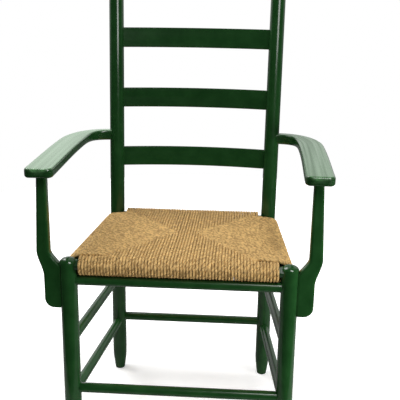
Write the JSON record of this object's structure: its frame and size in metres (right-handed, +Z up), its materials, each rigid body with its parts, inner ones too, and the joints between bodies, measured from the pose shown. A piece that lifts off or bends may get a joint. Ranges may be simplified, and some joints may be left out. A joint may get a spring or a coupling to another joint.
{
  "type": "ladderback chair",
  "caption": "Ladderback armchair with round green-painted posts and rungs, bowed back slats, flat arms on S-shaped supports and a woven cord seat.",
  "frame": {"origin": "middle of the bottom of the chair's box, on the floor", "axes": "+Z up, +X to the viewer's right seen from the front, the chair faces -Y"},
  "size_m": [0.617, 0.5116, 1.0876],
  "materials": {
    "green_paint": "gloss paint",
    "cord": "twisted paper cord",
    "stuffing": "plain",
    "steel": "bright"
  },
  "bodies": {
    "root": {"arm_left": "green_paint", "arm_pin_left": "steel", "arm_pin_right": "steel", "arm_right": "green_paint", "arm_support_left": "green_paint", "arm_support_right": "green_paint", "back_slat_1": "green_paint", "back_slat_2": "green_paint", "back_slat_3": "green_paint", "back_slat_4": "green_paint", "front_post_left": "green_paint", "front_post_right": "green_paint", "front_rung_lower": "green_paint", "front_rung_upper": "green_paint", "rear_post_left": "green_paint", "rear_post_right": "green_paint", "rear_rung": "green_paint", "seat_pad_front": "stuffing", "seat_pad_left": "stuffing", "seat_pad_rear": "stuffing", "seat_pad_right": "stuffing", "seat_rail_front": "green_paint", "seat_rail_left": "green_paint", "seat_rail_rear": "green_paint", "seat_rail_right": "green_paint", "side_rung_lower_left": "green_paint", "side_rung_lower_right": "green_paint", "side_rung_upper_left": "green_paint", "side_rung_upper_right": "green_paint", "slat_brad_1_left": "steel", "slat_brad_1_right": "steel", "slat_brad_2_left": "steel", "slat_brad_2_right": "steel", "slat_brad_3_left": "steel", "slat_brad_3_right": "steel", "slat_brad_4_left": "steel", "slat_brad_4_right": "steel", "support_screw_lower_left": "steel", "support_screw_lower_right": "steel", "support_screw_upper_left": "steel", "support_screw_upper_right": "steel", "woven_seat": "cord"}
  },
  "joints": []
}
